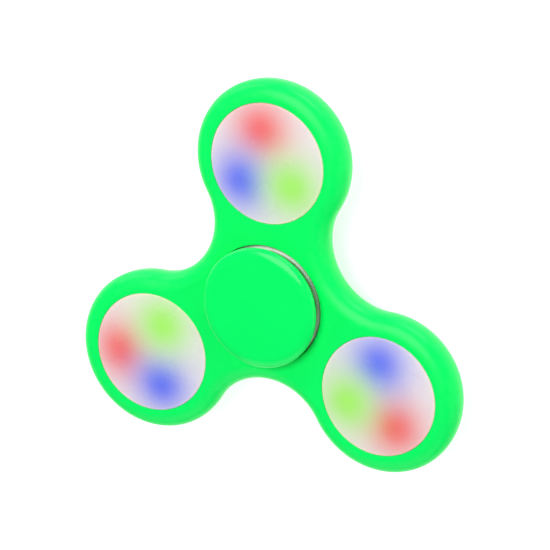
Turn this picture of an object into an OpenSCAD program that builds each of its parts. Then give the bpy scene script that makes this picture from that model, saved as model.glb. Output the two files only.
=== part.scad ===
// Three-lobed fidget spinner on a ball bearing, with a light module in each lobe.
// Millimetres. +Z is the spin axis. The origin is the middle of the lower finger cap's resting face.

/* [Body] */
// Distance from the spin axis to the centre of each light module
arm_length = 26; // [25.5:0.5:36]
// Thickness of the body
body_t = 7.2; // [7.2:0.1:10]
// Wall between a light bore and the outside of its lobe
lobe_wall = 3.65; // [3.6:0.05:5]
// Wall between the bearing bore and the waist between two lobes
waist_wall = 3.55; // [3.55:0.05:4.8]
// Width of the rim's rounding on the front face
front_edge_w = 3; // [1:0.1:3]
// Height of the rim's rounding at the front face
front_edge_h = 2.4; // [1:0.1:2.5]
// Width of the rim's rounding on the rear face
rear_edge_w = 3.3; // [1:0.1:3.3]
// Height of the rim's rounding at the rear face
rear_edge_h = 4.7; // [1:0.1:4.7]
// Chamfer at the mouth of each bore
bore_chamfer = 0.15; // [0.05:0.05:0.2]

/* [Bearing] */
// Outside diameter of the bearing
bearing_od = 22; // [20:0.5:26.5]
// Bore of the bearing
bearing_id = 8; // [7:0.5:8.5]
// Width of the bearing
bearing_w = 7; // [6.5:0.1:8.4]
// Number of balls
ball_count = 7; // [5:1:7]
// Diameter of a ball
ball_d = 3.97; // [3.3:0.01:4]
// Play between a ball and the steel or cage around it
ball_play = 0.05; // [0.03:0.01:0.08]
// Radial distance between the lands of the two races
land_gap = 2.9; // [2.5:0.1:3]
// Rounding of the races' corners
race_corner_r = 0.4; // [0.1:0.1:0.5]
// Thickness of a shield
shield_t = 0.35; // [0.2:0.05:0.5]
// Depth of a shield's outer face below the end of the bearing
shield_recess = 0.2; // [0.1:0.05:0.3]
// Width of the shoulder in the outer race that a shield sits on
shield_seat = 0.45; // [0.3:0.05:0.6]
// Running gap between a shield and the inner race
shield_gap = 0.12; // [0.1:0.01:0.2]
// Thickness of the cage's sheet metal
cage_t = 0.3; // [0.2:0.05:0.35]
// Radial width of the cage
cage_w = 1.9; // [1.5:0.1:2.2]
// Diameter of a cage rivet's shank
rivet_d = 0.6; // [0.4:0.1:0.7]

/* [Finger caps] */
// Diameter of a finger cap
cap_d = 22; // [18:0.5:24]
// Thickness of a finger cap's disc, which has a fully rounded rim
cap_t = 1.8; // [1.2:0.1:2.6]
// Gap between a finger cap and the face of the body
face_gap = 0.95; // [0.6:0.05:1.5]
// Width by which a cap's shoulder stays inside the inner race's land
shoulder_inset = 0.45; // [0.3:0.05:0.8]
// Gap between the ends of the two posts inside the bearing
post_gap = 0.4; // [0.2:0.1:1]
// Chamfer at the end of a post
post_chamfer = 0.3; // [0.1:0.1:0.5]
// Radial clearance between a post and the bore of the bearing
post_clearance = 0.01; // [0.01:0.01:0.05]

/* [Light module] */
// Diameter of the bore that a light module sits in
light_d = 22; // [22:0.1:26.5]
// Radial clearance of a module in its bore
light_clearance = 0.05; // [0.03:0.01:0.1]
// Thickness of the front cover at its edge
cover_t = 1; // [0.8:0.1:1.2]
// Height of the front cover's dome above its edge
cover_crown = 0.35; // [0.1:0.05:0.6]
// Thickness of the back cover's floor
floor_t = 0.8; // [0.6:0.1:0.9]
// Thickness of the covers' side wall
cover_wall = 0.8; // [0.6:0.05:0.9]
// Height of the lap joint between the covers
lap_h = 0.8; // [0.5:0.1:1.2]
// Radial clearance in the lap joint
lap_clearance = 0.05; // [0.03:0.01:0.08]
// Angles by which the three modules are turned in their bores
module_twists = [5, -30, -14];

/* [Circuit board] */
// Thickness of the board
board_t = 0.6; // [0.4:0.1:0.7]
// Clearance between the board's rim and the covers
board_clearance = 0.15; // [0.1:0.05:0.3]
// Diameter of the posts under the board
post_d = 2.6; // [2:0.1:2.8]
// Distance from the covers' side wall to the middle of a post
post_inset = 2.15; // [1.6:0.05:2.3]
// Diameter of the pin on each post
pin_d = 1; // [0.6:0.1:1.2]
// Radial clearance between a pin and its hole in the board
pin_clearance = 0.05; // [0.05:0.01:0.1]
// Distance from the middle of the module to each light-emitting diode
led_ring_r = 6.1; // [5:0.1:6.3]
// Angles of module 1's red, blue and green diode from the direction of its arm
led_angles_1 = [11, 127, -125];
// Angles of module 2's red, blue and green diode from the direction of its arm
led_angles_2 = [-26, 82, -143];
// Angles of module 3's red, blue and green diode from the direction of its arm
led_angles_3 = [-25, 120, -131];
// Side of a light-emitting diode
led_w = 2.2; // [1.6:0.1:2.4]
// Height of a light-emitting diode
led_h = 0.5; // [0.4:0.05:0.6]
// Diameter of the window in a light-emitting diode
led_window_d = 1.5; // [0.8:0.1:1.5]
// Depth of that window
led_window_depth = 0.15; // [0.05:0.05:0.2]
// Gap between the diodes and the front cover
led_gap = 0.2; // [0.15:0.05:0.3]
// Side of the controller chip
chip_w = 2.6; // [2:0.1:3]
// Height of the controller chip
chip_h = 0.45; // [0.3:0.05:0.5]

/* [Cells] */
// Diameter of a button cell
cell_d = 7.9; // [6.5:0.1:8.2]
// Height of a button cell
cell_h = 3.6; // [3:0.1:3.6]
// Width of the step round a cell's negative face
cell_step = 0.6; // [0.4:0.1:0.8]
// Clearance between a cell and the covers
cell_clearance = 0.1; // [0.05:0.05:0.15]
// Thickness of the plate under the cells
plate_t = 0.1; // [0.08:0.01:0.15]
// Diameter of the plate's pad under each cell
pad_d = 5; // [3:0.1:5.5]
// Width of the plate's ring between the pads
plate_ring_w = 1; // [0.6:0.1:1]
// Outside diameter of a contact spring on a cell
spring_d = 3; // [2.5:0.1:4]
// Wall of a contact spring
spring_wall = 0.4; // [0.3:0.05:0.6]

/* [Push button] */
// Diameter of the push button in the back cover
button_d = 3.2; // [2.6:0.1:3.2]
// Radial clearance between the button and its hole
button_clearance = 0.1; // [0.05:0.01:0.15]
// Height by which the button stands out of the rear face
button_proud = 0.35; // [0.3:0.05:0.5]
// Rounding of the button's edge
button_edge_r = 0.2; // [0.1:0.05:0.3]
// Travel of the button
button_travel = 0.3; // [0.2:0.05:0.35]
// Width of the flange that holds the button in
flange_w = 0.4; // [0.3:0.05:0.45]
// Thickness of that flange
flange_t = 0.5; // [0.4:0.1:0.6]
// Diameter of the button's stem
stem_d = 2; // [1.5:0.1:2]
// Gap left between parts that meet when the button moves
stop_gap = 0.05; // [0.03:0.01:0.08]
// Side of the switch under the board
switch_w = 2.8; // [2.6:0.1:2.9]
// Height of the switch
switch_h = 1.2; // [1.2:0.1:1.5]
// Depth of the bore in the switch
switch_bore_depth = 0.95; // [0.95:0.05:1]
// Diameter of the switch's plunger
plunger_d = 1.4; // [1:0.1:1.5]
// Radial clearance between the plunger and the switch
plunger_clearance = 0.08; // [0.05:0.01:0.1]

/* [Hidden] */
LOBES = 3;
FIRST_LOBE_ANGLE = 90;
LOBE_STEP = 360 / LOBES;
LIGHT_PIECES = [
    "front_cover", "back_cover", "circuit_board", "red_led", "green_led", "blue_led", "controller_chip",
    "tact_switch", "switch_plunger", "push_button", "button_cells", "battery_plate", "contact_springs"
];
$fn = 96;

RED_LED = 0;
BLUE_LED = 1;
GREEN_LED = 2;
PAST = 1;          // how far a cutting solid runs past the face that it cuts
DOME_FN = 1440;    // a finer circle for the front cover's shallow dome
LOBE_STEPS = 32;   // steps along the outline of a lobe
WAIST_STEPS = 12;  // steps along a waist
RIM_STEPS = 6;     // steps round each half of the rim
OVERRUN = 0.5;     // share of a step by which the rim's section runs past each face

BODY_GREEN = [0.02, 0.98, 0.42];
CAP_GREEN = [0.04, 0.98, 0.45];
STEEL = [0.78, 0.79, 0.82];
CAGE_STEEL = [0.7, 0.68, 0.62];
MILK_WHITE = [0.88, 0.88, 0.9];
BOARD_GREEN = [0.08, 0.38, 0.2];
CHIP_BLACK = [0.08, 0.08, 0.09];
CELL_NICKEL = [0.75, 0.75, 0.74];
CONTACT_BRASS = [0.82, 0.68, 0.35];
LED_COLORS = [[0.95, 0.25, 0.25], [0.25, 0.3, 0.95], [0.45, 0.95, 0.3]];
LED_ANGLES = [led_angles_1, led_angles_2, led_angles_3];

// Levels along the spin axis
body_z0 = cap_t + face_gap;
body_z1 = body_z0 + body_t;
mid_z = body_z0 + body_t / 2;
bearing_z0 = mid_z - bearing_w / 2;
bearing_z1 = mid_z + bearing_w / 2;

// Outline of the body: convex lobe arcs that run tangent into concave waist arcs
light_r = light_d / 2;
hub_r = bearing_od / 2;
lobe_r = light_r + lobe_wall;
waist_x = hub_r + waist_wall;
waist_r = (waist_x * waist_x + arm_length * arm_length - arm_length * waist_x - lobe_r * lobe_r)
    / (2 * lobe_r + arm_length - 2 * waist_x);
waist_centre = waist_x + waist_r;
lobe_sweep = atan2(waist_centre * sin(60), waist_centre * cos(60) - arm_length);
waist_sweep = lobe_sweep - 60;

// Bearing
ball_r = ball_d / 2;
pitch_r = (bearing_od + bearing_id) / 4;
outer_land_r = pitch_r + land_gap / 2;
inner_land_r = pitch_r - land_gap / 2;
groove_r = ball_r + ball_play;
shield_r = outer_land_r + shield_seat;
shield_top = shield_recess + shield_t;
ball_step = 360 / ball_count;

// Light module
module_r = light_r - light_clearance;
inner_r = module_r - cover_wall;
lap_mid_r = module_r - cover_wall / 2;
split_z = mid_z;
board_z1 = body_z1 - cover_t - led_gap - led_h;
board_z0 = board_z1 - board_t;
board_r = inner_r - board_clearance;
floor_z = body_z0 + floor_t;
cell_z0 = floor_z + plate_t;
cell_z1 = cell_z0 + cell_h;
cell_ring_r = inner_r - cell_d / 2 - cell_clearance;
post_ring_r = inner_r - post_inset;

// Push button
button_hole_r = button_d / 2 + button_clearance;
switch_z0 = board_z0 - switch_h;
stem_z1 = switch_z0 - button_travel - 2 * stop_gap;
plunger_z1 = switch_z0 + switch_bore_depth - button_travel - 2 * stop_gap;

function lobe_angle(n) = FIRST_LOBE_ANGLE + (n - 1) * LOBE_STEP;

// ---- Shared shapes ----

// What a rounded corner of radius r leaves over, from the middle of the rounding outwards
module corner_waste(r) {
    difference() {
        square(r + PAST);
        circle(r = r);
    }
}

// A tube between two radii, standing on z = 0
module tube(outer_r, bore_r, h) {
    difference() {
        cylinder(r = outer_r, h = h);
        translate([0, 0, -PAST]) cylinder(r = bore_r, h = h + 2 * PAST);
    }
}

// Places children at the middle of light module n, turned as that module is
module at_module(n) {
    rotate(lobe_angle(n)) translate([arm_length, 0, 0]) rotate(module_twists[n - 1]) children();
}

// Three copies of children around a module's middle, at radius r
module around_module(r, first_angle) {
    for (i = [0:LOBES - 1]) rotate(first_angle + i * LOBE_STEP) translate([r, 0, 0]) children();
}

// ---- Body ----

// Points along a circular arc, without its last one, so that arcs can follow each other
function arc_points(centre, r, from, to, steps) =
    [for (i = [0:steps - 1]) let (a = from + (to - from) * i / steps) centre + r * [cos(a), sin(a)]];

// The body's outline, moved inwards by inset: each lobe's arc, then the waist that follows it
function outline(inset) = [
    for (n = [1:LOBES])
        let (a = lobe_angle(n), w = a + LOBE_STEP / 2)
        each concat(
            arc_points(arm_length * [cos(a), sin(a)], lobe_r - inset, a - lobe_sweep, a + lobe_sweep, LOBE_STEPS),
            arc_points(waist_centre * [cos(w), sin(w)], waist_r + inset,
                w + 180 + waist_sweep, w + 180 - waist_sweep, WAIST_STEPS)
        )
];

// The rim's section from the rear face to the front face, as [inset, z]
function rim_section() = concat(
    [for (i = [0:RIM_STEPS]) let (a = 90 * i / RIM_STEPS)
        [rear_edge_w * (1 - sin(a)), body_z0 + rear_edge_h * (1 - cos(a))]],
    [for (i = [0:RIM_STEPS]) let (a = 90 * i / RIM_STEPS)
        [front_edge_w * (1 - cos(a)), body_z1 - front_edge_h * (1 - sin(a))]]
);

// The same section with its first and last steps carried on past the two faces, where the faces are cut flat
function overrun_section() =
    let (section = rim_section(), last = len(section) - 1)
    [for (i = [0:last])
        i == 0 ? section[0] + OVERRUN * (section[0] - section[1])
        : i == last ? section[last] + OVERRUN * (section[last] - section[last - 1])
        : section[i]];

// The body without its bores: one ring of points for each step of the rim's section, cut flat on both faces
module body_shell() {
    section = overrun_section();
    rings = len(section);
    count = LOBES * (LOBE_STEPS + WAIST_STEPS);
    span = 4 * arm_length;
    points = [for (step = section, p = outline(step[0])) [p[0], p[1], step[1]]];
    sides = [for (k = [0:rings - 2], i = [0:count - 1])
        let (next = (i + 1) % count) [k * count + i, (k + 1) * count + i, (k + 1) * count + next, k * count + next]];
    rear_face = [for (i = [0:count - 1]) i];
    front_face = [for (i = [count - 1:-1:0]) (rings - 1) * count + i];
    intersection() {
        polyhedron(points = points, faces = concat(sides, [rear_face, front_face]));
        translate([-span / 2, -span / 2, body_z0]) cube([span, span, body_t]);
    }
}

// A bore through the body with a chamfered mouth on both faces
module bore(r) {
    translate([0, 0, body_z0 - PAST]) cylinder(r = r, h = body_t + 2 * PAST);
    translate([0, 0, body_z1 - bore_chamfer])
        cylinder(r1 = r, r2 = r + bore_chamfer + PAST, h = bore_chamfer + PAST);
    translate([0, 0, body_z0 - PAST])
        cylinder(r1 = r + bore_chamfer + PAST, r2 = r, h = bore_chamfer + PAST);
}

module spinner_body() {
    color(BODY_GREEN) difference() {
        body_shell();
        bore(hub_r);
        for (n = [1:LOBES]) rotate(lobe_angle(n)) translate([arm_length, 0, 0]) bore(light_r);
    }
}

// ---- Bearing ----

module bearing_outer_race() {
    color(STEEL) translate([0, 0, mid_z]) rotate_extrude() difference() {
        translate([outer_land_r, -bearing_w / 2]) square([hub_r - outer_land_r, bearing_w]);
        translate([pitch_r, 0]) circle(r = groove_r);
        for (side = [0, 1]) mirror([0, side]) {
            translate([outer_land_r - PAST, bearing_w / 2 - shield_top])
                square([shield_seat + PAST, shield_top + PAST]);
            translate([hub_r - race_corner_r, bearing_w / 2 - race_corner_r]) corner_waste(race_corner_r);
        }
    }
}

module bearing_inner_race() {
    color(STEEL) translate([0, 0, mid_z]) rotate_extrude() difference() {
        translate([bearing_id / 2, -bearing_w / 2])
            square([inner_land_r - bearing_id / 2, bearing_w]);
        translate([pitch_r, 0]) circle(r = groove_r);
        for (side = [0, 1]) mirror([0, side])
            translate([bearing_id / 2 + race_corner_r, bearing_w / 2 - race_corner_r])
                mirror([1, 0]) corner_waste(race_corner_r);
    }
}

// A thin ring that closes the gap between the races
module shield() {
    tube(shield_r, inner_land_r + shield_gap, shield_t);
}

module upper_bearing_shield() {
    color(STEEL) translate([0, 0, bearing_z1 - shield_top]) shield();
}

module lower_bearing_shield() {
    color(STEEL) translate([0, 0, bearing_z0 + shield_recess]) shield();
}

module around_balls(offset_steps) {
    for (k = [0:ball_count - 1])
        rotate((k + offset_steps) * ball_step) translate([pitch_r, 0, 0]) children();
}

// One pressed half of the cage, lying above z = 0: a flat ring with a half pocket over each ball
module cage_half() {
    pocket_r = groove_r + cage_t;
    difference() {
        intersection() {
            tube(pitch_r + cage_w / 2, pitch_r - cage_w / 2, pocket_r + PAST);
            union() {
                cylinder(r = pitch_r + cage_w, h = cage_t);
                around_balls(0) sphere(r = pocket_r);
            }
        }
        around_balls(0) sphere(r = groove_r);
        around_balls(0.5) translate([0, 0, -PAST]) cylinder(d = rivet_d, h = cage_t + 2 * PAST);
    }
}

module upper_cage_half() {
    color(CAGE_STEEL) translate([0, 0, mid_z]) cage_half();
}

module lower_cage_half() {
    color(CAGE_STEEL) translate([0, 0, mid_z]) mirror([0, 0, 1]) cage_half();
}

module cage_rivets() {
    head_t = cage_t / 2;
    color(CAGE_STEEL) translate([0, 0, mid_z]) around_balls(0.5) union() {
        translate([0, 0, -cage_t]) cylinder(d = rivet_d, h = 2 * cage_t);
        for (z = [cage_t, -cage_t - head_t]) translate([0, 0, z]) cylinder(d = 2 * rivet_d, h = head_t);
    }
}

module ball(k) {
    color(STEEL) rotate((k - 1) * ball_step) translate([pitch_r, 0, mid_z]) sphere(d = ball_d);
}

// ---- Finger caps ----

// A cap with its outer face on z = 0 and its post pointing up
module finger_cap() {
    rim_r = cap_t / 2;
    post_r = bearing_id / 2 - post_clearance;
    post_z1 = mid_z - post_gap / 2;
    rotate_extrude() union() {
        square([cap_d / 2 - rim_r, cap_t]);
        translate([cap_d / 2 - rim_r, rim_r]) circle(r = rim_r);
        square([inner_land_r - shoulder_inset, bearing_z0]);
        square([post_r - post_chamfer, post_z1]);
        polygon([[0, 0], [post_r, 0], [post_r, post_z1 - post_chamfer], [post_r - post_chamfer, post_z1],
            [0, post_z1]]);
    }
}

module upper_finger_cap() {
    color(CAP_GREEN) translate([0, 0, 2 * mid_z]) mirror([0, 0, 1]) finger_cap();
}

module lower_finger_cap() {
    color(CAP_GREEN) finger_cap();
}

// ---- Light modules ----

// Milky cover flush with the front face: a low dome on a skirt that laps over the back cover
module front_cover(n) {
    dome_r = (module_r * module_r + cover_crown * cover_crown) / (2 * cover_crown);
    color(MILK_WHITE) at_module(n) difference() {
        rotate_extrude() intersection() {
            translate([0, split_z]) square([module_r, body_z1 + PAST - split_z]);
            translate([0, body_z1 + cover_crown - dome_r]) circle(r = dome_r, $fn = DOME_FN);
        }
        translate([0, 0, split_z - PAST]) cylinder(r = inner_r, h = body_z1 - cover_t - split_z + PAST);
        translate([0, 0, split_z - PAST]) cylinder(r = lap_mid_r + lap_clearance, h = lap_h + PAST);
    }
}

// Cup flush with the rear face, with posts that carry the board and a hole for the push button
module back_cover(n) {
    color(MILK_WHITE) at_module(n) difference() {
        union() {
            translate([0, 0, body_z0]) cylinder(r = module_r, h = floor_t);
            translate([0, 0, body_z0]) tube(module_r, inner_r, split_z - body_z0);
            translate([0, 0, body_z0]) tube(lap_mid_r, inner_r, split_z - body_z0 + lap_h - stop_gap);
            around_module(post_ring_r, 0) {
                translate([0, 0, body_z0]) cylinder(d = post_d, h = board_z0 - body_z0);
                translate([0, 0, body_z0]) cylinder(d = pin_d, h = board_z1 - body_z0);
            }
        }
        translate([0, 0, body_z0 - PAST]) cylinder(r = button_hole_r, h = floor_t + 2 * PAST);
    }
}

module circuit_board(n) {
    color(BOARD_GREEN) at_module(n) difference() {
        translate([0, 0, board_z0]) cylinder(r = board_r, h = board_t);
        around_module(post_ring_r, 0) translate([0, 0, board_z0 - PAST])
            cylinder(d = pin_d + 2 * pin_clearance, h = board_t + 2 * PAST);
    }
}

// A light-emitting diode on module n's board, facing the module's middle, with a sunk round window
module led(n, place) {
    color(LED_COLORS[place]) at_module(n)
        rotate(LED_ANGLES[n - 1][place] - module_twists[n - 1]) translate([led_ring_r, 0, board_z1])
            difference() {
                translate([-led_w / 2, -led_w / 2, 0]) cube([led_w, led_w, led_h]);
                translate([0, 0, led_h - led_window_depth])
                    cylinder(d = led_window_d, h = led_window_depth + PAST);
            }
}

module controller_chip(n) {
    color(CHIP_BLACK) at_module(n) translate([-chip_w / 2, -chip_w / 2, board_z1]) cube([chip_w, chip_w, chip_h]);
}

module tact_switch(n) {
    color(CHIP_BLACK) at_module(n) difference() {
        translate([-switch_w / 2, -switch_w / 2, switch_z0]) cube([switch_w, switch_w, switch_h]);
        translate([0, 0, switch_z0 - PAST])
            cylinder(r = plunger_d / 2 + plunger_clearance, h = switch_bore_depth + PAST);
    }
}

module switch_plunger(n) {
    color(STEEL) at_module(n) translate([0, 0, stem_z1]) cylinder(d = plunger_d, h = plunger_z1 - stem_z1);
}

// Button with a rounded outer edge, a flange behind the back cover and a stem up to the plunger
module push_button(n) {
    head_r = button_d / 2;
    head_z0 = body_z0 - button_proud;
    flange_z0 = floor_z + stop_gap;
    flange_z1 = flange_z0 + flange_t;
    color(MILK_WHITE) at_module(n) rotate_extrude() union() {
        difference() {
            translate([0, head_z0]) square([head_r, flange_z1 - head_z0]);
            translate([head_r - button_edge_r, head_z0 + button_edge_r])
                mirror([0, 1]) corner_waste(button_edge_r);
        }
        translate([0, flange_z0]) square([head_r + flange_w, flange_t]);
        translate([0, flange_z0]) square([stem_d / 2, stem_z1 - flange_z0]);
    }
}

// Three cells in a triangle between the posts, each with a step round its upper, negative face
module button_cells(n) {
    step_h = cell_h / 8;
    color(CELL_NICKEL) at_module(n) around_module(cell_ring_r, LOBE_STEP / 2) union() {
        translate([0, 0, cell_z0]) cylinder(d = cell_d, h = cell_h - step_h);
        translate([0, 0, cell_z0]) cylinder(d = cell_d - 2 * cell_step, h = cell_h);
    }
}

// Sheet-metal plate on the back cover's floor that joins the cells' positive faces
module battery_plate(n) {
    color(CONTACT_BRASS) at_module(n) translate([0, 0, floor_z]) union() {
        tube(cell_ring_r + plate_ring_w / 2, cell_ring_r - plate_ring_w / 2, plate_t);
        around_module(cell_ring_r, LOBE_STEP / 2) cylinder(d = pad_d, h = plate_t);
    }
}

// Spring rings between the cells' negative faces and the board
module contact_springs(n) {
    color(CONTACT_BRASS) at_module(n) around_module(cell_ring_r, LOBE_STEP / 2)
        translate([0, 0, cell_z1]) tube(spring_d / 2, spring_d / 2 - spring_wall, board_z0 - cell_z1);
}

// ---- Nodes ----

spinner_body();
bearing_outer_race();
bearing_inner_race();
upper_bearing_shield();
lower_bearing_shield();
upper_cage_half();
lower_cage_half();
cage_rivets();
upper_finger_cap();
lower_finger_cap();
for (k = [1:ball_count]) {
    ball(k);
}
for (n = [1:LOBES]) {
    front_cover(n);
    back_cover(n);
    circuit_board(n);
    led(n, RED_LED);
    led(n, GREEN_LED);
    led(n, BLUE_LED);
    controller_chip(n);
    tact_switch(n);
    switch_plunger(n);
    push_button(n);
    button_cells(n);
    battery_plate(n);
    contact_springs(n);
}
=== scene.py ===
"""Looks of a three-lobed hand spinner with a light module in each lobe.

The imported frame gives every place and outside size. Each sub-assembly is a class that turns, spins and fills its
own meshes with bmesh operators and dresses them in a procedural finish. All lengths are in metres.
"""

from __future__ import annotations

import logging
import math
from collections.abc import Iterable, Sequence
from dataclasses import dataclass, field
from enum import Enum

import bmesh
import bpy
from mathutils import Matrix, Vector

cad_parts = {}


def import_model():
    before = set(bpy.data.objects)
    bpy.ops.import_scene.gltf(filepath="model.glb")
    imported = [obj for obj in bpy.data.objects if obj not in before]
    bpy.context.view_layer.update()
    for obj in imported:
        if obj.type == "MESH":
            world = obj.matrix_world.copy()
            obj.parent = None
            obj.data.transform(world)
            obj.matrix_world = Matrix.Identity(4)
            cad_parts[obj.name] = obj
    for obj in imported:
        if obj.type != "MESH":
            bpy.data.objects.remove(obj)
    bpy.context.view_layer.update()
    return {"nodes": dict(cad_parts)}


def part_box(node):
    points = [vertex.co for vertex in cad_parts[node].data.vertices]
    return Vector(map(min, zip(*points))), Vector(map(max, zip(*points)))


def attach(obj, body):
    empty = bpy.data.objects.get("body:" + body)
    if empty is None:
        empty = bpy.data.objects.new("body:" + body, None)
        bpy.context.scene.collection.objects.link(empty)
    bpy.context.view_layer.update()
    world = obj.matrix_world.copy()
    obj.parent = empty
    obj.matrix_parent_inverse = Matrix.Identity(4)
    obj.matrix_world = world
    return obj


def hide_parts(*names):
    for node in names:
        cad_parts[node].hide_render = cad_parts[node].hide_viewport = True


LOG = logging.getLogger("spinner")

MM = 0.001
FULL_TURN = 2 * math.pi
LOBES = 3
BALLS = 7
FIRST_LOBE_ANGLE = math.radians(90)
LOBE_STEP = FULL_TURN / LOBES
MODULE_TWISTS = (5.0, -30.0, -14.0)
MODULE_CLEARANCE = 0.05 * MM
MERGE_DISTANCE = 5e-7
LEVEL_TOLERANCE = 1e-6
# Mask of convex edges: more roughness where they are scuffed, and a painted highlight in the moulded plastic's
# colour.
WEAR_HIGHLIGHT_ATTRIBUTE = "edge_wear_and_highlight"
WEAR_HIGHLIGHT_BENDS = (2.0, 14.0)

Colour = tuple[float, float, float]
Point = tuple[float, float]
Socket = bpy.types.NodeSocket

BLACK: Colour = (0.0, 0.0, 0.0)


# ---- Sections and meshes ----


def arc(centre: Point, radii: Point, start: float, end: float, steps: int) -> list[Point]:
    """Points along an elliptical arc, both ends included.

    Args:
        centre: Middle of the ellipse.
        radii: Its two half-axes.
        start: First angle in degrees.
        end: Last angle in degrees.
        steps: Number of steps between the two.

    Returns:
        The points in order.
    """
    angles = [math.radians(start + (end - start) * i / steps) for i in range(steps + 1)]
    return [(centre[0] + radii[0] * math.cos(a), centre[1] + radii[1] * math.sin(a)) for a in angles]


def heading(angle: float) -> Vector:
    """Unit vector in the plane of the body at an angle from +X."""
    return Vector((math.cos(angle), math.sin(angle), 0.0))


def lobe_angle(number: int) -> float:
    """Angle of lobe 1, 2 or 3 from +X."""
    return FIRST_LOBE_ANGLE + (number - 1) * LOBE_STEP


def box_centre(node: str) -> Vector:
    """Middle of a node's box at rest."""
    low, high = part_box(node)
    return (Vector(low) + Vector(high)) / 2


def box_radius(node: str) -> float:
    """Half of a round node's width along X."""
    low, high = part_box(node)
    return (high[0] - low[0]) / 2


class Workpiece:
    """A mesh under way, with the few cuts and turns that every piece here is made by."""

    def __init__(self, name: str) -> None:
        """Starts an empty workpiece that will become an object of that name."""
        self.name = name
        self.bm = bmesh.new()

    def path(self, points: Iterable[Vector], closed: bool = False) -> list[bmesh.types.BMEdge]:
        """Lays a chain of edges.

        Args:
            points: Corners of the chain in order.
            closed: Whether the last corner joins the first.

        Returns:
            The new edges in order.
        """
        corners = [self.bm.verts.new(p) for p in points]
        pairs = list(zip(corners, corners[1:]))
        if closed:
            pairs.append((corners[-1], corners[0]))
        return [self.bm.edges.new(pair) for pair in pairs]

    def sweep(
        self, edges: Sequence[bmesh.types.BMEdge], centre: Vector, angle: float, steps: int
    ) -> list[bmesh.types.BMEdge]:
        """Spins edges about an upright axis.

        Args:
            edges: Edges to spin.
            centre: A point on the axis.
            angle: Angle to spin through.
            steps: Number of steps.

        Returns:
            The edges at the end of the sweep.
        """
        full = math.isclose(abs(angle), FULL_TURN)
        corners = list({corner for edge in edges for corner in edge.verts})
        swept = bmesh.ops.spin(
            self.bm, geom=corners + list(edges), cent=centre, axis=(0, 0, 1), dvec=(0, 0, 0),
            angle=angle, steps=steps, use_merge=full, use_duplicate=False,
        )
        return [item for item in swept["geom_last"] if isinstance(item, bmesh.types.BMEdge)]

    def turn(self, section: Sequence[Point], centre: Vector, steps: int, closed: bool = False) -> None:
        """Turns a section into a full solid or tube.

        Args:
            section: Points as (radius, height).
            centre: A point on the upright axis.
            steps: Steps round the full turn.
            closed: Whether the section is a closed loop, as a ring's is.
        """
        points = [Vector((centre.x + radius, centre.y, height)) for radius, height in section]
        self.sweep(self.path(points, closed), centre, FULL_TURN, steps)

    def post(self, centre: Vector, radius: float, low: float, high: float, steps: int = 32) -> None:
        """Adds a closed upright post.

        Args:
            centre: A point on the post's axis.
            radius: Its radius.
            low: Height of its foot.
            high: Height of its top.
            steps: Number of sides.
        """
        middle = Matrix.Translation((centre.x, centre.y, (low + high) / 2))
        bmesh.ops.create_cone(
            self.bm, cap_ends=True, segments=steps, radius1=radius, radius2=radius, depth=high - low, matrix=middle
        )

    def fill_level(self, height: float, normal: Vector) -> None:
        """Fills the open loops that lie at one height with a flat face pierced by its inner loops.

        Args:
            height: Height of the loops.
            normal: Direction that the face looks in.
        """
        rim = [
            edge for edge in self.bm.edges
            if edge.is_boundary and all(abs(corner.co.z - height) < LEVEL_TOLERANCE for corner in edge.verts)
        ]
        bmesh.ops.triangle_fill(self.bm, use_beauty=True, edges=rim, normal=normal)

    def weld(self) -> None:
        """Merges doubled corners, as at the poles and the ends of sweeps."""
        bmesh.ops.remove_doubles(self.bm, verts=self.bm.verts, dist=MERGE_DISTANCE)

    def release(self, crease: float = 32.0) -> bpy.types.Object:
        """Turns the workpiece into an object at the origin, with a mask of its convex edges as an attribute, which
        scuffs their roughness and paints a highlight on the plastic.

        Args:
            crease: Angle between faces in degrees above which an edge is shaded sharp.

        Returns:
            The linked object.
        """
        self.weld()
        bmesh.ops.recalc_face_normals(self.bm, faces=self.bm.faces)
        wear_and_highlight = self.bm.verts.layers.float.new(WEAR_HIGHLIGHT_ATTRIBUTE)
        first, full = WEAR_HIGHLIGHT_BENDS
        for face in self.bm.faces:
            face.smooth = True
        for edge in self.bm.edges:
            bend = math.degrees(edge.calc_face_angle(0.0))
            edge.smooth = bend < crease
            # Convex edges get the mask: scuffing in roughness and a painted highlight in the plastic's colour.
            wear_and_highlight_mask = min(max((bend - first) / (full - first), 0.0), 1.0) if edge.is_convex else 0.0
            for corner in edge.verts:
                corner[wear_and_highlight] = max(corner[wear_and_highlight], wear_and_highlight_mask)
        mesh = bpy.data.meshes.new(self.name)
        self.bm.to_mesh(mesh)
        self.bm.free()
        piece = bpy.data.objects.new(self.name, mesh)
        bpy.context.scene.collection.objects.link(piece)
        return piece


# ---- Finishes ----


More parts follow.
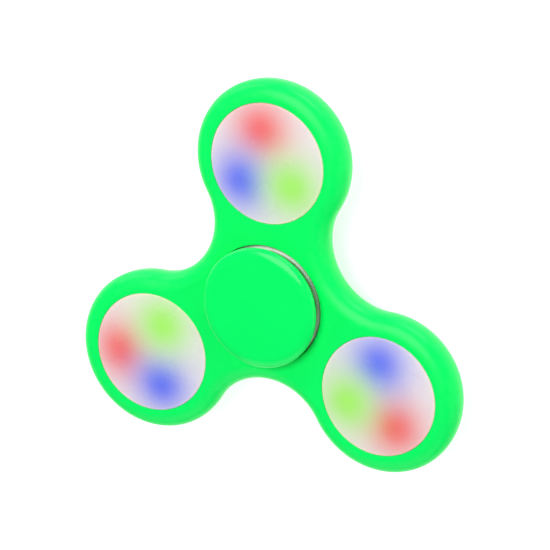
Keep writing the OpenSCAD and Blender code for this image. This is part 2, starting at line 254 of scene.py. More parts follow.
class Shader:
    """A material's node tree, with short calls for the nodes that the finishes share."""

    def __init__(self, name: str) -> None:
        """Starts a material with its surface shader and object coordinates.

        Args:
            name: The material's name.
        """
        self.material = bpy.data.materials.new(name)
        self.material.use_nodes = True
        self.nodes = self.material.node_tree.nodes
        self.links = self.material.node_tree.links
        self.surface = self.nodes["Principled BSDF"]
        self.place = self.nodes.new("ShaderNodeTexCoord").outputs["Object"]

    def fix(self, **values: float | Sequence[float]) -> None:
        """Sets the surface shader's own sockets, named with underscores for spaces."""
        for name, value in values.items():
            self.surface.inputs[name.replace("_", " ")].default_value = value

    def drive(self, socket: str, source: Socket) -> None:
        """Feeds one of the surface shader's sockets."""
        self.links.new(source, self.surface.inputs[socket])

    def put(self, socket: Socket, value: object) -> None:
        """Links a socket, or sets it to a plain value.

        Args:
            socket: The input to feed.
            value: The output to link to it, or its plain value.
        """
        if isinstance(value, Socket):
            self.links.new(value, socket)
        else:
            socket.default_value = value

    def stretched(self, repeats: Sequence[float], turn: float = 0.0) -> Socket:
        """Object coordinates turned about Z and stretched.

        Args:
            repeats: How many units each axis holds in a metre.
            turn: Angle to turn through, in degrees.

        Returns:
            The vector's socket.
        """
        node = self.nodes.new("ShaderNodeMapping")
        node.vector_type = "TEXTURE"
        node.inputs["Rotation"].default_value = (0, 0, math.radians(turn))
        node.inputs["Scale"].default_value = [1 / repeat for repeat in repeats]
        self.links.new(self.place, node.inputs["Vector"])
        return node.outputs["Vector"]

    def noise(self, scale: float, detail: float = 3.0, vector: Socket | None = None) -> Socket:
        """Noise between 0 and 1.

        Args:
            scale: Size of the pattern: larger is finer.
            detail: Number of finer layers in it.
            vector: Coordinates to read in place of the object's own.

        Returns:
            The noise's socket.
        """
        node = self.nodes.new("ShaderNodeTexNoise")
        node.inputs["Scale"].default_value = scale
        node.inputs["Detail"].default_value = detail
        self.links.new(vector or self.place, node.inputs["Vector"])
        return node.outputs["Fac"]

    def rings(self, centre: Vector, scale: float) -> Socket:
        """Noise that changes only with the distance from an upright axis.

        Args:
            centre: A point on the axis.
            scale: How many units of noise a metre holds.

        Returns:
            The noise's socket.
        """
        node = self.nodes.new("ShaderNodeTexNoise")
        node.noise_dimensions = "1D"
        node.inputs["Scale"].default_value = 1.0
        node.inputs["Detail"].default_value = 4.0
        self.links.new(self.maths("MULTIPLY", self.radius_from(centre), scale), node.inputs["W"])
        return node.outputs["Fac"]

    def maths(self, operation: str, first: object, second: object = 0.0) -> Socket:
        """Joins two sockets or numbers in a Math node.

        Args:
            operation: The node's operation.
            first: First socket or number.
            second: Second socket or number.

        Returns:
            The result's socket.
        """
        node = self.nodes.new("ShaderNodeMath")
        node.operation = operation
        for socket, value in zip(node.inputs, (first, second)):
            self.put(socket, value)
        return node.outputs["Value"]

    def vectors(self, operation: str, first: Socket, second: Sequence[float] = BLACK) -> bpy.types.ShaderNode:
        """Joins a socket and a fixed vector in a Vector Math node.

        Args:
            operation: The node's operation.
            first: Socket of the first vector.
            second: The second vector.

        Returns:
            The node, as its results differ in kind.
        """
        node = self.nodes.new("ShaderNodeVectorMath")
        node.operation = operation
        for socket, value in zip(node.inputs, (first, second)):
            self.put(socket, value)
        return node

    def ranged(self, value: Socket, source: Point = (0.3, 0.7), target: Point = (0.0, 1.0)) -> Socket:
        """Maps a value smoothly from one range to another.

        Args:
            value: Socket of the value.
            source: Range that it has.
            target: Range that it gets.

        Returns:
            The result's socket.
        """
        node = self.nodes.new("ShaderNodeMapRange")
        node.interpolation_type = "SMOOTHSTEP"
        self.put(node.inputs["Value"], value)
        for name, number in zip(("From Min", "From Max", "To Min", "To Max"), (*source, *target)):
            node.inputs[name].default_value = number
        return node.outputs["Result"]

    def blend(self, factor: Socket, first: object, second: object) -> Socket:
        """Mixes two colours.

        Args:
            factor: Socket of the second colour's share.
            first: First colour or its socket.
            second: Second colour or its socket.

        Returns:
            The mixed colour's socket.
        """
        node = self.nodes.new("ShaderNodeMix")
        node.data_type = "RGBA"
        self.put(node.inputs["Factor"], factor)
        colours = [socket for socket in node.inputs if socket.type == "RGBA"]
        for socket, value in zip(colours, (first, second)):
            self.put(socket, value if isinstance(value, Socket) else (*value, 1.0))
        return next(socket for socket in node.outputs if socket.type == "RGBA")

    def radius_from(self, centre: Vector) -> Socket:
        """Distance from an upright axis.

        Args:
            centre: A point on the axis.

        Returns:
            The distance's socket.
        """
        offset = self.vectors("SUBTRACT", self.place, centre)
        flat = self.vectors("MULTIPLY", offset.outputs["Vector"], (1, 1, 0))
        return self.vectors("LENGTH", flat.outputs["Vector"]).outputs["Value"]

    def wear_and_highlight_mask(self) -> Socket:
        """Where edges are scuffed and, in the moulded plastic, painted with a highlight: the piece's own edge
        attribute, broken up by noise.

        Returns:
            The socket of the wear, from 0 to 1.
        """
        node = self.nodes.new("ShaderNodeAttribute")
        node.attribute_name = WEAR_HIGHLIGHT_ATTRIBUTE
        patches = self.ranged(self.noise(900.0, 4.0), (0.35, 0.7))
        return self.maths("MULTIPLY", node.outputs["Fac"], patches)

    def relief(self, height: Socket, strength: float, depth: float) -> None:
        """Bumps the surface.

        Args:
            height: Socket of the height, from 0 to 1.
            strength: How strongly the bumps show, from 0 to 1.
            depth: Depth of the bumps.
        """
        node = self.nodes.new("ShaderNodeBump")
        node.inputs["Strength"].default_value = strength
        node.inputs["Distance"].default_value = depth
        self.links.new(height, node.inputs["Height"])
        self.drive("Normal", node.outputs["Normal"])


def tinted(colour: Colour, factor: float) -> Colour:
    """A colour scaled in brightness, kept within range."""
    return tuple(min(channel * factor, 1.0) for channel in colour)


@dataclass(frozen=True)
class MouldedPlastic:
    """Gloss plastic from a mould: faint flow patches, a fine grain, scuffed edges that are rougher and painted with a
    lighter highlight colour, and hairline scratches.
    """

    name: str
    colour: Colour
    # Lighter colour painted on the convex edges as a highlight.
    edge_highlight_colour: Colour
    roughness: float = 0.3
    mirror: float = 0.17
    patch_depth: float = 0.96
    grain_depth: float = 0.01 * MM

    def make(self) -> bpy.types.Material:
        """Builds the material.

        Returns:
            The material.
        """
        shader = Shader(self.name)
        patches = shader.ranged(shader.noise(55.0))
        flow = shader.blend(patches, tinted(self.colour, self.patch_depth), self.colour)
        wear_and_highlight = shader.wear_and_highlight_mask()
        # Painted highlight: the convex edges blend towards the lighter edge colour.
        shader.drive("Base Color", shader.blend(shader.maths("MULTIPLY", wear_and_highlight, 0.35), flow, self.edge_highlight_colour))
        scratches = shader.noise(1.0, 5.0, shader.stretched((260, 5200, 260), 24))
        rubs_and_edge_highlight = shader.ranged(scratches, (0.58, 0.78), (0.0, 0.04))
        smears = shader.ranged(shader.noise(130.0, 4.0), (0.3, 0.75), (-0.03, 0.04))
        base = shader.maths("ADD", shader.maths("ADD", rubs_and_edge_highlight, smears), self.roughness)
        shader.drive("Roughness", shader.maths("ADD", base, shader.maths("MULTIPLY", wear_and_highlight, 0.12)))
        shader.fix(Specular_IOR_Level=self.mirror, IOR=1.5)
        grain = shader.maths("ADD", shader.noise(3200.0, 2.0), shader.maths("MULTIPLY", rubs_and_edge_highlight, -3.0))
        shader.relief(grain, 0.35, self.grain_depth)
        return shader.material


@dataclass(frozen=True)
class GlowSpot:
    """A light-emitting diode's glow seen through a milky cover."""

    centre: Vector
    colour: Colour


@dataclass(frozen=True)
class MilkyCover:
    """Milky translucent plastic, with the soft glow of the diodes under it."""

    name: str
    centre: Vector
    radius: float
    spots: tuple[GlowSpot, ...] = ()
    colour: Colour = (0.83, 0.79, 0.8)
    rim_colour: Colour = (1.0, 0.84, 0.74)
    rim_band: Point = (0.94, 0.985)
    rim_share: float = 0.75
    cloud_depth: float = 0.975
    glow_radius: float = 5.7 * MM
    glow_light: float = 0.04

    def make(self) -> bpy.types.Material:
        """Builds the material.

        Returns:
            The material.
        """
        shader = Shader(self.name)
        cloud = shader.ranged(shader.noise(220.0, 4.0))
        colour = shader.blend(cloud, tinted(self.colour, self.cloud_depth), self.colour)
        rim = tuple(share * self.radius for share in self.rim_band)
        edge = shader.ranged(shader.radius_from(self.centre), rim, (0.0, self.rim_share))
        colour = shader.blend(edge, colour, self.rim_colour)
        light: object = BLACK
        for spot in self.spots:
            away = shader.maths("DIVIDE", shader.radius_from(spot.centre), self.glow_radius)
            fall = shader.maths("MULTIPLY", shader.maths("POWER", away, 2.0), -1.0)
            glow = shader.maths("EXPONENT", fall)
            colour = shader.blend(glow, colour, spot.colour)
            light = shader.blend(glow, light, spot.colour)
        shader.drive("Base Color", colour)
        if self.spots:
            shader.drive("Emission Color", light)
            shader.fix(Emission_Strength=self.glow_light)
        haze = shader.ranged(shader.noise(160.0, 4.0), (0.35, 0.7), (0.22, 0.3))
        shader.drive("Roughness", shader.maths("ADD", haze, shader.maths("MULTIPLY", shader.wear_and_highlight_mask(), 0.15)))
        shader.fix(
            Specular_IOR_Level=0.35, Subsurface_Weight=0.25, Subsurface_Scale=1.0 * MM,
            Subsurface_Radius=(1.0, 0.92, 0.85),
        )
        shader.relief(shader.noise(2600.0), 0.25, 0.008 * MM)
        return shader.material


@dataclass(frozen=True)
class TurnedMetal:
    """Metal that was ground or pressed round an axis: fine rings, blotches of polish and darker low spots."""

    name: str
    colour: Colour
    centre: Vector = field(default_factory=Vector)
    roughness: float = 0.24
    ring_scale: float = 9000.0
    ring_depth: float = 0.006 * MM
    tarnish: float = 0.8

    def make(self) -> bpy.types.Material:
        """Builds the material.

        Returns:
            The material.
        """
        shader = Shader(self.name)
        rings = shader.rings(self.centre, self.ring_scale)
        blotches = shader.ranged(shader.noise(420.0, 5.0), (0.35, 0.7))
        shader.drive("Base Color", shader.blend(blotches, tinted(self.colour, self.tarnish), self.colour))
        rubs_and_edge_highlight = shader.maths("ADD", shader.ranged(rings, target=(-0.05, 0.07)), self.roughness)
        shader.drive("Roughness", shader.maths("ADD", rubs_and_edge_highlight, shader.maths("MULTIPLY", blotches, 0.05)))
        shader.fix(Metallic=1.0)
        shader.relief(rings, 0.3, self.ring_depth)
        return shader.material


@dataclass(frozen=True)
class SolderMask:
    """Green varnish over a board's copper tracks, with bare tinned pads where the varnish stops."""

    name: str
    varnish: Colour = (0.012, 0.12, 0.05)
    over_copper: Colour = (0.03, 0.24, 0.09)
    tin: Colour = (0.55, 0.55, 0.52)

    def make(self) -> bpy.types.Material:
        """Builds the material.

        Returns:
            The material.
        """
        shader = Shader(self.name)
        tracks = shader.nodes.new("ShaderNodeTexBrick")
        tracks.inputs["Scale"].default_value = 420.0
        tracks.inputs["Mortar Size"].default_value = 0.035
        tracks.inputs["Mortar Smooth"].default_value = 0.2
        shader.links.new(shader.stretched((1, 1, 1), 30), tracks.inputs["Vector"])
        copper = tracks.outputs["Fac"]
        colour = shader.blend(copper, self.varnish, self.over_copper)
        pads = shader.ranged(shader.noise(900.0, 1.0), (0.68, 0.7))
        shader.drive("Base Color", shader.blend(pads, colour, self.tin))
        shader.drive("Metallic", shader.maths("MULTIPLY", pads, 0.9))
        shader.drive("Roughness", shader.ranged(shader.noise(700.0), target=(0.25, 0.4)))
        shader.relief(copper, 0.4, 0.03 * MM)
        return shader.material


@dataclass(frozen=True)
class DullMould:
    """Matt moulded case of a chip or switch: speckled, with a scuffed top."""

    name: str
    colour: Colour
    roughness: float = 0.55
    scuffing: float = 0.1

    def make(self) -> bpy.types.Material:
        """Builds the material.

        Returns:
            The material.
        """
        shader = Shader(self.name)
        speckle = shader.ranged(shader.noise(5200.0, 2.0), (0.35, 0.65))
        shader.drive("Base Color", shader.blend(speckle, self.colour, tinted(self.colour, 1.9)))
        scuffs = (self.roughness - self.scuffing, self.roughness + self.scuffing)
        shader.drive("Roughness", shader.ranged(shader.noise(1500.0, 4.0), target=scuffs))
        shader.relief(speckle, 0.3, 0.01 * MM)
        return shader.material


@dataclass(frozen=True)
class LitDiode:
    """A white diode case whose sunk window shines in one colour."""

    name: str
    centre: Vector
    colour: Colour
    window: float = 0.75 * MM
    case: Colour = (0.72, 0.72, 0.7)
    shine: float = 2.0

    def make(self) -> bpy.types.Material:
        """Builds the material.

        Returns:
            The material.
        """
        shader = Shader(self.name)
        edge = (0.95 * self.window, 1.05 * self.window)
        inside = shader.ranged(shader.radius_from(self.centre), edge, (1.0, 0.0))
        dust = shader.ranged(shader.noise(2600.0), (0.35, 0.7))
        case = shader.blend(dust, self.case, tinted(self.case, 0.9))
        shader.drive("Base Color", shader.blend(inside, case, self.colour))
        shader.drive("Emission Color", shader.blend(inside, BLACK, self.colour))
        shader.drive("Roughness", shader.ranged(dust, (0.0, 1.0), (0.3, 0.45)))
        shader.fix(Emission_Strength=self.shine)
        shader.relief(dust, 0.2, 0.008 * MM)
        return shader.material


# ---- Sub-assemblies ----


@dataclass
class Body:
    """The one-piece green body: three lobes run into each other through waists, with four bores."""

    hub_radius: float
    light_radius: float
    waist_wall: float = 3.55 * MM
    front_rounding: Point = (3.0 * MM, 2.4 * MM)
    rear_rounding: Point = (3.3 * MM, 4.7 * MM)
    mouth_rounding: float = 0.08 * MM
    flat_margin: float = 0.03 * MM
    parting_depth: float = 0.025 * MM
    parting_half_width: float = 0.045 * MM
    rim_steps: int = 14
    lobe_steps: int = 120
    waist_steps: int = 48
    bore_steps: int = 144

    def __post_init__(self) -> None:
        """Works out the outline: convex lobe arcs that run tangent into concave waist arcs."""
        low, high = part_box("spinner_body")
        self.rear, self.front = low[2], high[2]
        self.reach = box_centre("front_cover_1").y
        self.lobe_radius = high[1] - self.reach
        waist = self.hub_radius + self.waist_wall
        gap = waist**2 + self.reach**2 - self.reach * waist - self.lobe_radius**2
        self.waist_radius = gap / (2 * self.lobe_radius + self.reach - 2 * waist)
        self.waist_centre = waist + self.waist_radius
        side = self.waist_centre * heading(LOBE_STEP / 2) - Vector((self.reach, 0, 0))
        self.lobe_sweep = math.atan2(side.y, side.x)

    def rim_section(self) -> list[Point]:
        """Draws the rim from the rear face to the front face.

        Returns:
            Points as (inset, height).
        """
        rear_w, rear_h = self.rear_rounding
        front_w, front_h = self.front_rounding
        rear = arc((rear_w, self.rear + rear_h), (rear_w, rear_h), 270, 180, self.rim_steps)
        front = arc((front_w, self.front - front_h), (front_w, front_h), 180, 90, self.rim_steps)
        middle = (rear[-1][1] + front[0][1]) / 2
        half = self.parting_half_width
        parting = [(0.0, middle - half), (self.parting_depth, middle), (0.0, middle + half)]
        start = (rear_w + self.flat_margin, self.rear)
        end = (front_w + self.flat_margin, self.front)
        return [start, *rear, *parting, *front, end]

    def bore_section(self, radius: float) -> list[Point]:
        """Draws a bore's wall with rounded mouths.

        Args:
            radius: The bore's radius.

        Returns:
            Points as (radius, height).
        """
        mouth = self.mouth_rounding
        front = arc((radius + mouth, self.front - mouth), (mouth, mouth), 90, 180, 4)
        rear = arc((radius + mouth, self.rear + mouth), (mouth, mouth), 180, 270, 4)
        lip = radius + mouth + self.flat_margin
        return [(lip, self.front), *front, *rear, (lip, self.rear)]

    def build(self) -> bpy.types.Object:
        """Sweeps the rim round the outline, turns the bores and fills the two faces between them.

        Returns:
            The shell.
        """
        work = Workpiece("body_shell")
        start = lobe_angle(1) - self.lobe_sweep
        lobe = heading(lobe_angle(1)) * self.reach
        rim = [
            lobe + heading(start) * (self.lobe_radius - inset) + Vector((0, 0, height))
            for inset, height in self.rim_section()
        ]
        edges = work.path(rim)
        waist_sweep = self.lobe_sweep - LOBE_STEP / 2
        for number in range(1, LOBES + 1):
            angle = lobe_angle(number)
            edges = work.sweep(edges, heading(angle) * self.reach, 2 * self.lobe_sweep, self.lobe_steps)
            waist = heading(angle + LOBE_STEP / 2) * self.waist_centre
            edges = work.sweep(edges, waist, -2 * waist_sweep, self.waist_steps)
        work.weld()
        work.turn(self.bore_section(self.hub_radius), Vector(), self.bore_steps)
        for number in range(1, LOBES + 1):
            work.turn(self.bore_section(self.light_radius), heading(lobe_angle(number)) * self.reach, self.bore_steps)
        work.fill_level(self.front, Vector((0, 0, 1)))
        work.fill_level(self.rear, Vector((0, 0, -1)))
        return work.release()

    def dress(self, finish: bpy.types.Material) -> bpy.types.Object:
        """Builds the shell in its finish and hangs it on the rotor.

        Args:
            finish: The body's green plastic.

        Returns:
            The shell.
        """
        shell = self.build()
        shell.data.materials.append(finish)
        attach(shell, "rotor")
        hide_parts("spinner_body")
        return shell


class Side(Enum):
    """Which face of the spinner a piece is on, as the way inwards from it along Z."""

    UPPER = -1
    LOWER = 1

    @property
    def word(self) -> str:
        """The word that names of pieces on this side start with."""
        return self.name.lower()


@dataclass
class FingerCap:
    """A round finger cap with a fully rounded rim, a shoulder on the inner race and a post in its bore."""

    side: Side
    shoulder_radius: float = 5.6 * MM
    post_radius: float = 3.99 * MM
    disc_thickness: float = 1.8 * MM
    rim_width: float = 2.0 * MM
    root_fillet: float = 0.35 * MM
    post_chamfer: float = 0.3 * MM
    steps: int = 144

    def section(self) -> list[Point]:
        """Draws the cap from the middle of its outer face round to the end of its post.

        Returns:
            Points as (radius, height).
        """
        node = f"{self.side.word}_finger_cap"
        low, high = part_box(node)
        radius = box_radius(node)
        outside, end = (high[2], low[2]) if self.side is Side.UPPER else (low[2], high[2])
        length = abs(end - outside)
        race_low, race_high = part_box("bearing_inner_race")
        race_face = race_high[2] if self.side is Side.UPPER else race_low[2]
        seat = abs(race_face - outside)
        half = self.disc_thickness / 2
        fillet = self.root_fillet
        nick = fillet / 3
        depths = [
            (0.0, 0.0),
            *arc((radius - self.rim_width, half), (self.rim_width, half), -90, 0, 16),
            *arc((radius - half, half), (half, half), 0, 90, 10)[1:],
            *arc((self.shoulder_radius + fillet, self.disc_thickness + fillet), (fillet, fillet), 270, 180, 6),
            (self.shoulder_radius, seat - nick),
            (self.shoulder_radius - nick, seat),
            (self.post_radius, seat),
            (self.post_radius, length - self.post_chamfer),
            (self.post_radius - self.post_chamfer, length),
            (0.0, length),
        ]
        return [(r, outside + self.side.value * depth) for r, depth in depths]

    def dress(self, finish: bpy.types.Material) -> bpy.types.Object:
        """Turns the cap in its finish and fixes it to the hub.

        Args:
            finish: The caps' green plastic.

        Returns:
            The cap.
        """
        work = Workpiece(f"{self.side.word}_cap")
        work.turn(self.section(), Vector(), self.steps)
        cap = work.release()
        cap.data.materials.append(finish)
        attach(cap, "hub")
        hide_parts(f"{self.side.word}_finger_cap")
        return cap


@dataclass
class Bearing:
    """The ball bearing: two races with grooved lands, two shields, and the caged balls from the frame."""

    bore_radius: float = 4.0 * MM
    bore_rounding: float = 0.4 * MM
    face_rounding: Point = (1.15 * MM, 0.9 * MM)
    ball_play: float = 0.05 * MM
    land_radius: Point = (6.05 * MM, 8.95 * MM)
    shield_recess: float = 0.2 * MM
    shield_thickness: float = 0.35 * MM
    shield_gap: float = 0.12 * MM
    band_step: float = 0.12 * MM
    band_inset: Point = (0.6 * MM, 0.75 * MM)
    steps: int = 144

    def __post_init__(self) -> None:
        """Reads the bearing's size from the frame."""
        low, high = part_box("bearing_outer_race")
        self.low, self.high = low[2], high[2]
        self.outer_radius = box_radius("bearing_outer_race")
        self.middle = (self.low + self.high) / 2
        self.pitch = sum(self.land_radius) / 2
        self.groove = box_radius("ball_1") + self.ball_play

    def groove_arc(self, land: float, start: float, end: float) -> list[Point]:
        """The ball groove between its two edges on a land."""
        spread = math.degrees(math.acos(abs(land - self.pitch) / self.groove))
        return arc((self.pitch, self.middle), (self.groove, self.groove), start - spread, end + spread, 16)

    def outer_section(self) -> list[Point]:
        """Draws the closed section of the outer race.

        Returns:
            Points as (radius, height).
        """
        seat = box_radius("upper_bearing_shield")
        depth = self.shield_recess + self.shield_thickness
        land = self.land_radius[1]
        w, h = self.face_rounding
        return [
            *arc((self.outer_radius - w, self.high - h), (w, h), 0, 90, 12),
            (seat, self.high), (seat, self.high - depth), (land, self.high - depth),
            *reversed(self.groove_arc(land, 0, 0)),
            (land, self.low + depth), (seat, self.low + depth), (seat, self.low),
            *arc((self.outer_radius - w, self.low + h), (w, h), 270, 360, 12),
        ]

    def inner_section(self) -> list[Point]:
        """Draws the closed section of the inner race.

        Returns:
            Points as (radius, height).
        """
        c, land = self.bore_rounding, self.land_radius[0]
        return [
            *arc((self.bore_radius + c, self.high - c), (c, c), 180, 90, 6),
            (land, self.high),
            *self.groove_arc(land, 180, 180)[::-1],
            (land, self.low),
            *arc((self.bore_radius + c, self.low + c), (c, c), 270, 180, 6),
        ]

    def shield_section(self, side: Side) -> list[Point]:
        """Draws the closed section of a pressed shield with a raised band.

        Args:
            side: The bearing's face that the shield closes.

        Returns:
            Points as (radius, height).
        """
        node = f"{side.word}_bearing_shield"
        low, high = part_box(node)
        face, back = (high[2], low[2]) if side is Side.UPPER else (low[2], high[2])
        sunk = face + side.value * self.band_step
        inner, outer = self.land_radius[0] + self.shield_gap, box_radius(node)
        foot, shoulder = self.band_inset
        return [
            (inner, sunk), (inner + foot, sunk), (inner + shoulder, face),
            (outer - shoulder, face), (outer - foot, sunk), (outer, sunk),
            (outer, back), (inner, back),
        ]

    def ring(
        self, name: str, node: str, section: list[Point], body: str, metal: bpy.types.Material
    ) -> None:
        """Turns one ring of the bearing and hangs it on its body.

        Args:
            name: The piece's name.
            node: The node that it replaces.
            section: Its closed section as (radius, height).
            body: The body that it moves with.
            metal: Its finish.
        """
        work = Workpiece(name)
        work.turn(section, Vector(), self.steps, closed=True)
        piece = work.release(crease=25.0)
        piece.data.materials.append(metal)
        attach(piece, body)
        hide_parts(node)
        LOG.info("turned %s", name)

    def dress(self, nodes: dict[str, bpy.types.Object]) -> None:
        """Makes the rings and finishes the cage, rivets and balls that the frame holds.

        Args:
            nodes: The frame's nodes by name.
        """
        ground = TurnedMetal("ground_steel", (0.68, 0.67, 0.65), roughness=0.5).make()
        pressed = TurnedMetal("pressed_shield", (0.5, 0.5, 0.52), roughness=0.32, ring_scale=5000).make()
        self.ring("outer_race", "bearing_outer_race", self.outer_section(), "rotor", ground)
        self.ring("inner_race", "bearing_inner_race", self.inner_section(), "hub", ground)
        for side in Side:
            node = f"{side.word}_bearing_shield"
            self.ring(f"{side.word}_shield", node, self.shield_section(side), "rotor", pressed)
        cage = TurnedMetal("pressed_cage", (0.45, 0.43, 0.4), roughness=0.36, ring_scale=4000, tarnish=0.7).make()
        for node in ("upper_cage_half", "lower_cage_half", "cage_rivets"):
            finish_node(nodes[node], cage)
        for number in range(1, BALLS + 1):
            node = f"ball_{number}"
            polished = TurnedMetal(
                f"polished_{node}", (0.7, 0.71, 0.73), box_centre(node),
                roughness=0.08, ring_scale=12000, ring_depth=0.001 * MM, tarnish=0.92,
            )
            finish_node(nodes[node], polished.make())


def finish_node(node: bpy.types.Object, finish: bpy.types.Material) -> None:
    """Puts a finish on every material slot of a node from the frame."""
    for slot in node.material_slots:
        slot.material = finish


class Diode(Enum):
    """The three diodes of a light module, as the colours of their glow."""

    RED = (0.85, 0.16, 0.16)
    BLUE = (0.14, 0.18, 0.84)
    GREEN = (0.37, 0.83, 0.15)

    @property
    def word(self) -> str:
        """The words that its node's name starts with."""
        return f"{self.name.lower()}_led"


@dataclass
class LightModule:
    """A light module: milky front and back covers, a push button, and the lit board with its cells."""

    number: int
    twist: float
    wall: float = 0.8 * MM
    front_thickness: float = 1.0 * MM
    floor_thickness: float = 0.8 * MM
    crown: float = 0.35 * MM
    edge_rounding: float = 0.16 * MM
    lap_height: float = 0.8 * MM
    lap_clearance: float = 0.05 * MM
    button_hole: float = 1.7 * MM
    hole_chamfer: float = 0.15 * MM
    groove_offset: float = 1.1 * MM
    groove_depth: float = 0.12 * MM
    groove_half_width: Point = (0.1 * MM, 0.3 * MM)
    button_lip: float = 0.4 * MM
    button_rounding: float = 0.2 * MM
    button_dish: tuple[Point, ...] = ((0.0, 0.1 * MM), (0.45, 0.07 * MM), (0.8, 0.005 * MM))
    button_play: float = 0.05 * MM
    flange_thickness: float = 0.5 * MM
    stem_radius: float = 1.0 * MM
    post_radius: float = 1.3 * MM
    post_ring: float = 8.0 * MM
    post_root: float = 0.6
    pin_radius: float = 0.5 * MM
    pin_root: float = 0.1 * MM
    steps: int = 144

    def __post_init__(self) -> None:
        """Reads the module's place from the frame."""
        low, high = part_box(f"front_cover_{self.number}")
        self.centre = box_centre(f"front_cover_{self.number}")
        self.radius = box_radius(f"front_cover_{self.number}")
        self.split, self.top = low[2], high[2]
        self.edge_top = self.top - self.crown
        back_low, back_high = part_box(f"back_cover_{self.number}")
        self.rear, self.pin_top = back_low[2], back_high[2]
        self.board_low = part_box(f"circuit_board_{self.number}")[0][2]
        self.inner = self.radius - self.wall
        self.lap = self.radius - self.wall / 2

    def name(self, piece: str) -> str:
        """A piece's name with the module's number."""
        return f"{piece}_{self.number}"

    def front_section(self) -> list[Point]:
        """Draws half of the domed front cover and its lapped skirt.

        Returns:
            Points as (radius, height).
        """
        dome = (self.radius**2 + self.crown**2) / (2 * self.crown)
        e = self.edge_rounding
        spread = math.degrees(math.asin((self.radius - e) / dome))
        crown = arc((0.0, self.top - dome), (dome, dome), 90, 90 - spread, 24)
        shoulder = arc((self.radius - e, crown[-1][1] - e), (e, e), 85, 0, 6)
        under = self.edge_top - self.front_thickness
        lap, lap_top = self.lap + self.lap_clearance, self.split + self.lap_height
        return [
            *crown, *shoulder, (self.radius, self.split), (lap, self.split), (lap, lap_top),
            (self.inner, lap_top), (self.inner, under), (0.0, under),
        ]

    def back_section(self) -> list[Point]:
        """Draws the back cover: a floor round the button hole, with a shallow groove, and a lapped wall.

        Returns:
            Closed loop of points as (radius, height).
        """
        e = self.edge_rounding
        hole, floor = self.button_hole, self.rear + self.floor_thickness
        groove, sunk = hole + self.groove_offset, self.rear + self.groove_depth
        narrow, wide = self.groove_half_width
        lap_top = self.split + self.lap_height - self.lap_clearance
        return [
            (hole, floor), (hole, self.rear + self.hole_chamfer), (hole + self.hole_chamfer, self.rear),
            (groove - wide, self.rear), (groove - narrow, sunk), (groove + narrow, sunk), (groove + wide, self.rear),
            *arc((self.radius - e, self.rear + e), (e, e), 270, 360, 6),
            (self.radius, self.split), (self.lap, self.split), (self.lap, lap_top), (self.inner, lap_top),
            (self.inner, floor),
        ]

    def button_section(self) -> list[Point]:
        """Draws half of the push button: a dished head, a flange and a stem.

        Returns:
            Points as (radius, height).
        """
        node = self.name("push_button")
        low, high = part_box(node)
        flange = box_radius(node)
        head = flange - self.button_lip
        e = self.button_rounding
        flange_low = self.rear + self.floor_thickness + self.button_play
        flange_top = flange_low + self.flange_thickness
        return [
            *((share * head, low[2] + depth) for share, depth in self.button_dish),
            *arc((head - e, low[2] + e), (e, e), 270, 360, 6),
            (head, flange_low), (flange, flange_low), (flange, flange_top),
            (self.stem_radius, flange_top), (self.stem_radius, high[2]), (0.0, high[2]),
        ]

    def shape(self, piece: str, section: list[Point], closed: bool) -> Workpiece:
        """Turns a section about the module's axis.

        Args:
            piece: The piece's name without its number.
            section: Its section as (radius, height).
            closed: Whether the section is a closed loop.

        Returns:
            The workpiece.
        """
        work = Workpiece(self.name(piece))
        work.turn(section, self.centre, self.steps, closed)
        return work

    def hang(self, piece: bpy.types.Object, body: str, node: str, slot: str, finish: bpy.types.Material) -> None:
        """Dresses a piece and hangs it on its body in place of its node.

        Args:
            piece: The piece.
            body: The body that it moves with.
            node: The node that it replaces, without its number.
            slot: Name of its material slot; not used.
            finish: Its finish.
        """
        piece.data.materials.append(finish)
        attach(piece, body)
        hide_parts(self.name(node))
        LOG.info("made %s", piece.name)

    def covers(self) -> None:
        """Makes the front and back covers and the push button."""
        spots = tuple(GlowSpot(box_centre(self.name(diode.word)), diode.value) for diode in Diode)
        lit = MilkyCover(self.name("lit_milk"), self.centre, self.radius, spots).make()
        plain = MilkyCover(self.name("plain_milk"), self.centre, self.radius).make()
        front = self.shape("lens", self.front_section(), False).release()
        self.hang(front, "rotor", "front_cover", "milky_cover", lit)
        cup = self.shape("cup", self.back_section(), True)
        for turn in range(LOBES):
            place = self.post_place(turn)
            cup.post(place, self.post_radius, self.rear + self.post_root * self.floor_thickness, self.board_low)
            cup.post(place, self.pin_radius, self.board_low - self.pin_root, self.pin_top)
        self.hang(cup.release(), "rotor", "back_cover", "milky_back", plain)
        button = self.shape("button", self.button_section(), False).release()
        self.hang(button, f"button_{self.number}", "push_button", "button_milky", plain)

    def post_place(self, turn: int) -> Vector:
        """Middle of one of the three posts under the board."""
        angle = lobe_angle(self.number) + math.radians(self.twist) + turn * LOBE_STEP
        return self.centre + heading(angle) * self.post_ring

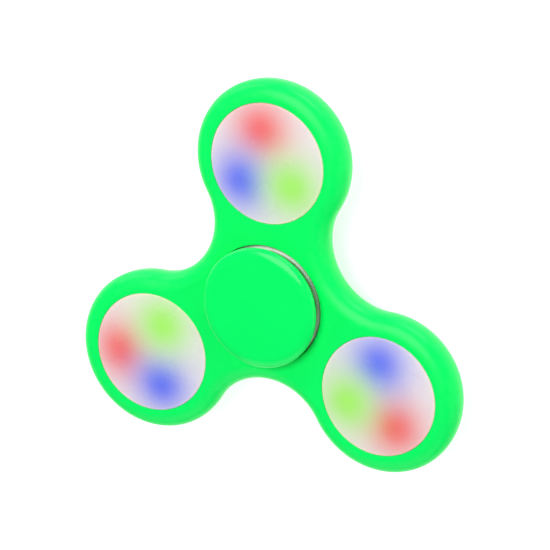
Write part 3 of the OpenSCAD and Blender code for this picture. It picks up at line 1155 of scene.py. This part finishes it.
    def inside(self, nodes: dict[str, bpy.types.Object]) -> None:
        """Finishes the board, diodes, chip, switch, cells and contacts that the frame holds.

        Args:
            nodes: The frame's nodes by name.
        """
        nickel, brass, steel = (0.6, 0.6, 0.58), (0.78, 0.6, 0.28), (0.55, 0.55, 0.56)
        finishes = {
            "circuit_board": SolderMask(self.name("solder_mask")),
            "controller_chip": DullMould(self.name("chip_case"), (0.02, 0.02, 0.022)),
            "tact_switch": DullMould(self.name("switch_case"), (0.03, 0.03, 0.034), 0.45),
            "switch_plunger": TurnedMetal(self.name("plunger_steel"), steel, self.centre),
            "button_cells": TurnedMetal(self.name("cell_nickel"), nickel, self.centre, 0.3, 3000),
            "battery_plate": TurnedMetal(self.name("plate_brass"), brass, self.centre, 0.3, 3500),
            "contact_springs": TurnedMetal(self.name("spring_brass"), brass, self.centre, 0.28, 7000),
        }
        for diode in Diode:
            node = self.name(diode.word)
            finishes[diode.word] = LitDiode(f"{node}_case", box_centre(node), diode.value)
        for piece, finish in finishes.items():
            finish_node(nodes[self.name(piece)], finish.make())


# ---- Studio ----


def direction(azimuth: float, elevation: float) -> Vector:
    """Unit vector towards an azimuth from +X and an elevation above the floor, both in degrees."""
    rise = math.radians(elevation)
    return heading(math.radians(azimuth)) * math.cos(rise) + Vector((0, 0, math.sin(rise)))


@dataclass(frozen=True)
class Softbox:
    """A rectangular soft light: where it hangs as seen from the spinner, its size and its power in watts."""

    name: str
    azimuth: float
    elevation: float
    away: float
    size: Point
    power: float

    def hang(self, aim: Vector) -> None:
        """Hangs the light.

        Args:
            aim: The point that it faces.
        """
        lamp = bpy.data.lights.new(self.name, "AREA")
        lamp.shape = "RECTANGLE"
        lamp.size, lamp.size_y = self.size
        lamp.energy = self.power
        holder = bpy.data.objects.new(self.name, lamp)
        back = direction(self.azimuth, self.elevation)
        holder.location = aim + back * self.away
        holder.rotation_euler = back.to_track_quat("Z", "Y").to_euler()
        bpy.context.scene.collection.objects.link(holder)


@dataclass
class Studio:
    """A plain pale floor, soft lights and the camera."""

    front: float
    aim_offset: Point = (1.99 * MM, 5.92 * MM)
    distance: float = 709.3 * MM
    azimuth: float = 38.12
    elevation: float = 57.35
    roll: float = -122.44
    lens: float = 265.38
    floor_size: float = 8.0
    sky: float = 0.17
    glow: float = 0.72
    softboxes: tuple[Softbox, ...] = (
        Softbox("overhead_light", 110, 70, 1.2, (0.8, 0.8), 11.5),
        Softbox("key_light", 74, 12, 1.0, (0.5, 0.2), 3.2),
        Softbox("far_light", 140, 14, 1.1, (0.7, 0.3), 2.5),
        Softbox("fill_light", 345, 25, 1.3, (1.2, 0.8), 3.0),
        Softbox("side_light", 262, 28, 1.3, (1.2, 0.8), 3.6),
    )

    def __post_init__(self) -> None:
        """Works out the point on the front face that the camera and lights face."""
        self.aim = Vector((*self.aim_offset, self.front))

    def floor(self) -> None:
        """Lays the floor that the lower cap rests on."""
        work = Workpiece("studio_floor")
        bmesh.ops.create_grid(work.bm, x_segments=2, y_segments=2, size=self.floor_size / 2)
        floor = work.release()
        shader = Shader("pale_floor")
        paper = shader.ranged(shader.noise(12.0, 4.0))
        shader.drive("Base Color", shader.blend(paper, (0.6, 0.6, 0.6), (0.63, 0.63, 0.63)))
        shader.fix(Roughness=0.9, Specular_IOR_Level=0.1, Emission_Color=(1, 1, 1, 1), Emission_Strength=self.glow)
        floor.data.materials.append(shader.material)

    def lights(self) -> None:
        """Sets the sky and hangs the soft lights."""
        world = bpy.data.worlds.new("studio_sky")
        world.use_nodes = True
        background = world.node_tree.nodes["Background"]
        background.inputs["Color"].default_value = (1, 1, 1, 1)
        background.inputs["Strength"].default_value = self.sky
        bpy.context.scene.world = world
        for softbox in self.softboxes:
            softbox.hang(self.aim)

    def camera(self) -> None:
        """Places the camera above one lobe, rolled as the spinner is held."""
        back = direction(self.azimuth, self.elevation)
        level = heading(math.radians(self.azimuth) + math.pi / 2)
        roll = math.radians(self.roll)
        right = level * math.cos(roll) + back.cross(level) * math.sin(roll)
        up = back.cross(right)
        lens = bpy.data.cameras.new("camera")
        lens.lens = self.lens
        lens.clip_start, lens.clip_end = 0.05, 50.0
        camera = bpy.data.objects.new("camera", lens)
        turn = Matrix((right, up, back)).transposed().to_4x4()
        camera.matrix_world = Matrix.Translation(self.aim + back * self.distance) @ turn
        bpy.context.scene.collection.objects.link(camera)
        bpy.context.scene.camera = camera

    def build(self) -> None:
        """Sets up the whole studio."""
        self.camera()
        self.floor()
        self.lights()
        bpy.context.scene.view_settings.view_transform = "Standard"


# ---- The spinner ----


def main() -> None:
    """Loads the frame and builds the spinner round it."""
    logging.basicConfig(level=logging.INFO, format="%(name)s: %(message)s")
    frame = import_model()
    Studio(front=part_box("spinner_body")[1][2]).build()

    # Lighter green painted on the convex edges as a highlight.
    rubs_and_edge_highlight: Colour = (0.04, 0.98, 0.22)
    body_green = MouldedPlastic("body_green", (0.001, 0.93, 0.13), rubs_and_edge_highlight).make()
    cap_green = MouldedPlastic("cap_green", (0.001, 0.94, 0.138), rubs_and_edge_highlight, roughness=0.12, mirror=0.23).make()
    body = Body(box_radius("bearing_outer_race"), box_radius("front_cover_1") + MODULE_CLEARANCE)
    LOG.info("swept %s", body.dress(body_green).name)
    for side in Side:
        LOG.info("turned %s", FingerCap(side).dress(cap_green).name)
    Bearing().dress(frame["nodes"])
    for number, twist in enumerate(MODULE_TWISTS, 1):
        module = LightModule(number, twist)
        module.covers()
        module.inside(frame["nodes"])


if __name__ == "__main__":
    main()
